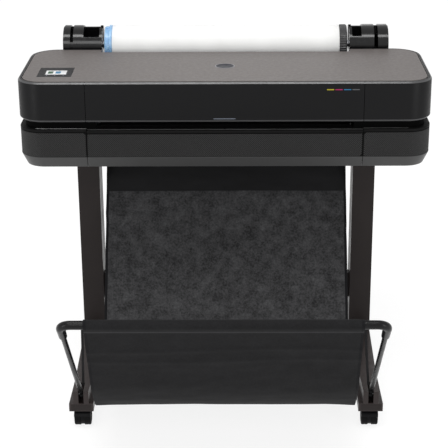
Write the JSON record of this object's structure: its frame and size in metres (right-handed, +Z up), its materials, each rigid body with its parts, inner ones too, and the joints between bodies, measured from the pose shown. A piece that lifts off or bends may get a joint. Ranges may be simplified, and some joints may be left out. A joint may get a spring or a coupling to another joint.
{
  "type": "large format plotter",
  "caption": "Wide roll-fed plotter on a wheeled stand, with a paper roll on a rear spindle, a hinged front door and a fabric bin that catches the prints.",
  "frame": {"origin": "on the floor, in the middle of the bounding box", "axes": "+X to the right seen from the front, +Y to the back, +Z up"},
  "size_m": [1.013, 0.9215, 0.932],
  "materials": {
    "stand_steel": "fine textured dark brown-black powder coat",
    "fasteners": "zinc plated steel",
    "bin_fabric": "black non-woven polypropylene cloth",
    "bin_tube": "satin dark grey powder coated tube",
    "black_plastic": "dull black moulded plastic",
    "upper_cover_plastic": "fine grained charcoal plastic",
    "lower_cover_plastic": "charcoal plastic with fine diagonal ribs",
    "top_plate_plastic": "warm grey finely grained plastic",
    "display_bezel_plastic": "dark grey satin plastic",
    "display_screen": "lit white screen under glass",
    "holder_plastic": "semi-gloss black plastic",
    "chassis_steel": "galvanised sheet steel",
    "motor_metal": "steel motor can",
    "pulley_metal": "machined aluminium",
    "belt_rubber": "black rubber belt",
    "roller_rubber": "dark grey rubber",
    "gear_nylon": "natural acetal",
    "gear_brass": "brass pinion",
    "ink_plastic": "black cartridge shells",
    "circuit_board": "green circuit board",
    "blue_plastic": "light blue translucent plastic",
    "paper": "white uncoated paper",
    "caster_hood_plastic": "black nylon",
    "caster_wheel_plastic": "hard black nylon tread"
  },
  "bodies": {
    "frame": {"left_foot": "stand_steel", "right_foot": "stand_steel", "left_leg": "stand_steel", "right_leg": "stand_steel", "cross_brace": "stand_steel", "leg_top_brackets": "stand_steel", "stand_fasteners": "fasteners", "rear_bin_bar": "stand_steel", "bin_sling_rear": "bin_fabric", "chassis": "chassis_steel", "lower_front_cover": "lower_cover_plastic", "lower_left_cover": "lower_cover_plastic", "lower_right_cover": "lower_cover_plastic", "waist_frame": "black_plastic", "upper_left_cover": "upper_cover_plastic", "upper_right_cover": "upper_cover_plastic", "top_plate": "top_plate_plastic", "display_bezel": "display_bezel_plastic", "display_glass": "display_screen", "rear_housing": "black_plastic", "left_roll_holder": "holder_plastic", "right_roll_holder": "holder_plastic", "platen": "black_plastic", "carriage_rail": "chassis_steel", "drive_belt": "belt_rubber", "carriage_motor": "motor_metal", "feed_motor": "motor_metal", "ink_cartridges": "ink_plastic", "service_station": "black_plastic", "power_supply": "chassis_steel", "main_board": "circuit_board", "power_inlet": "black_plastic"},
    "front_door": {"front_door": "upper_cover_plastic", "door_hinge_pins": "fasteners"},
    "carriage": {"carriage": "black_plastic"},
    "drive_pulley": {"drive_pulley": "pulley_metal"},
    "idler_pulley": {"idler_pulley": "pulley_metal"},
    "feed_roller": {"feed_roller": "roller_rubber", "feed_gear": "gear_nylon"},
    "feed_pinion": {"feed_pinion": "gear_brass"},
    "pinch_rollers": {"pinch_rollers": "roller_rubber"},
    "cutter": {"cutter": "black_plastic"},
    "spindle_bushes": {"spindle_bushes": "black_plastic"},
    "spindle": {"spindle_shaft": "chassis_steel", "knurled_flange": "holder_plastic", "blue_flange": "blue_plastic", "paper_roll": "paper"},
    "power_switch": {"power_switch": "black_plastic"},
    "bin_frame": {"bin_front_tube": "bin_tube", "bin_arms": "bin_tube", "bin_pivot_hooks": "black_plastic", "bin_sling_front": "bin_fabric"},
    "front_left_caster": {"front_left_caster_hood": "caster_hood_plastic"},
    "front_left_wheels": {"front_left_caster_wheels": "caster_wheel_plastic"},
    "front_right_caster": {"front_right_caster_hood": "caster_hood_plastic"},
    "front_right_wheels": {"front_right_caster_wheels": "caster_wheel_plastic"},
    "rear_left_caster": {"rear_left_caster_hood": "caster_hood_plastic"},
    "rear_left_wheels": {"rear_left_caster_wheels": "caster_wheel_plastic"},
    "rear_right_caster": {"rear_right_caster_hood": "caster_hood_plastic"},
    "rear_right_wheels": {"rear_right_caster_wheels": "caster_wheel_plastic"}
  },
  "joints": [
    {"name": "front_door_hinge", "type": "hinge", "parent": "frame", "child": "front_door", "pos_m": [0, -0.01675, 0.8765], "axis": [-1, 0, 0], "range_deg": [0, 85]},
    {"name": "carriage_slide", "type": "slide", "parent": "frame", "child": "carriage", "axis": [-1, 0, 0], "range_m": [0, 0.72]},
    {"name": "drive_pulley_spin", "type": "hinge", "parent": "frame", "child": "drive_pulley", "pos_m": [0.43, 0.09475, 0.85], "axis": [0, 0, 1], "continuous": true},
    {"name": "idler_pulley_spin", "type": "hinge", "parent": "frame", "child": "idler_pulley", "pos_m": [-0.43, 0.09475, 0.85], "axis": [0, 0, 1], "continuous": true},
    {"name": "feed_roller_spin", "type": "hinge", "parent": "frame", "child": "feed_roller", "pos_m": [0, 0.11875, 0.755], "axis": [1, 0, 0], "continuous": true},
    {"name": "feed_pinion_spin", "type": "hinge", "parent": "frame", "child": "feed_pinion", "pos_m": [-0.416, 0.15772, 0.7325], "axis": [1, 0, 0], "continuous": true},
    {"name": "pinch_roller_spin", "type": "hinge", "parent": "frame", "child": "pinch_rollers", "pos_m": [0, 0.11875, 0.7733], "axis": [1, 0, 0], "continuous": true},
    {"name": "cutter_slide", "type": "slide", "parent": "frame", "child": "cutter", "axis": [1, 0, 0], "range_m": [0, 0.63]},
    {"name": "spindle_lift", "type": "slide", "parent": "frame", "child": "spindle_bushes", "axis": [0, 0, 1], "range_m": [0, 0.06]},
    {"name": "spindle_spin", "type": "hinge", "parent": "spindle_bushes", "child": "spindle", "pos_m": [0, 0.37575, 0.881], "axis": [1, 0, 0], "continuous": true},
    {"name": "power_switch_rock", "type": "hinge", "parent": "frame", "child": "power_switch", "pos_m": [-0.352, 0.41975, 0.702], "axis": [1, 0, 0], "range_deg": [-6, 6]},
    {"name": "bin_fold", "type": "hinge", "parent": "frame", "child": "bin_frame", "pos_m": [0, -0.11925, 0.092], "axis": [-1, 0, 0], "range_deg": [0, 75]},
    {"name": "front_left_caster_swivel", "type": "hinge", "parent": "frame", "child": "front_left_caster", "pos_m": [-0.367, -0.09525, 0.05], "axis": [0, 0, 1], "continuous": true},
    {"name": "front_left_wheel_roll", "type": "hinge", "parent": "front_left_caster", "child": "front_left_wheels", "pos_m": [-0.367, -0.10725, 0.022], "axis": [1, 0, 0], "continuous": true},
    {"name": "front_right_caster_swivel", "type": "hinge", "parent": "frame", "child": "front_right_caster", "pos_m": [0.367, -0.09525, 0.05], "axis": [0, 0, 1], "continuous": true},
    {"name": "front_right_wheel_roll", "type": "hinge", "parent": "front_right_caster", "child": "front_right_wheels", "pos_m": [0.367, -0.10725, 0.022], "axis": [1, 0, 0], "continuous": true},
    {"name": "rear_left_caster_swivel", "type": "hinge", "parent": "frame", "child": "rear_left_caster", "pos_m": [-0.367, 0.41875, 0.05], "axis": [0, 0, 1], "continuous": true},
    {"name": "rear_left_wheel_roll", "type": "hinge", "parent": "rear_left_caster", "child": "rear_left_wheels", "pos_m": [-0.367, 0.40675, 0.022], "axis": [1, 0, 0], "continuous": true},
    {"name": "rear_right_caster_swivel", "type": "hinge", "parent": "frame", "child": "rear_right_caster", "pos_m": [0.367, 0.41875, 0.05], "axis": [0, 0, 1], "continuous": true},
    {"name": "rear_right_wheel_roll", "type": "hinge", "parent": "rear_right_caster", "child": "rear_right_wheels", "pos_m": [0.367, 0.40675, 0.022], "axis": [1, 0, 0], "continuous": true}
  ],
  "couplings": [
    {"joint": "drive_pulley_spin", "follows": "carriage_slide", "rad_per_m": -112.36},
    {"joint": "idler_pulley_spin", "follows": "carriage_slide", "rad_per_m": -112.36},
    {"joint": "feed_pinion_spin", "follows": "feed_roller_spin", "ratio": -4},
    {"joint": "pinch_roller_spin", "follows": "feed_roller_spin", "ratio": -2}
  ]
}
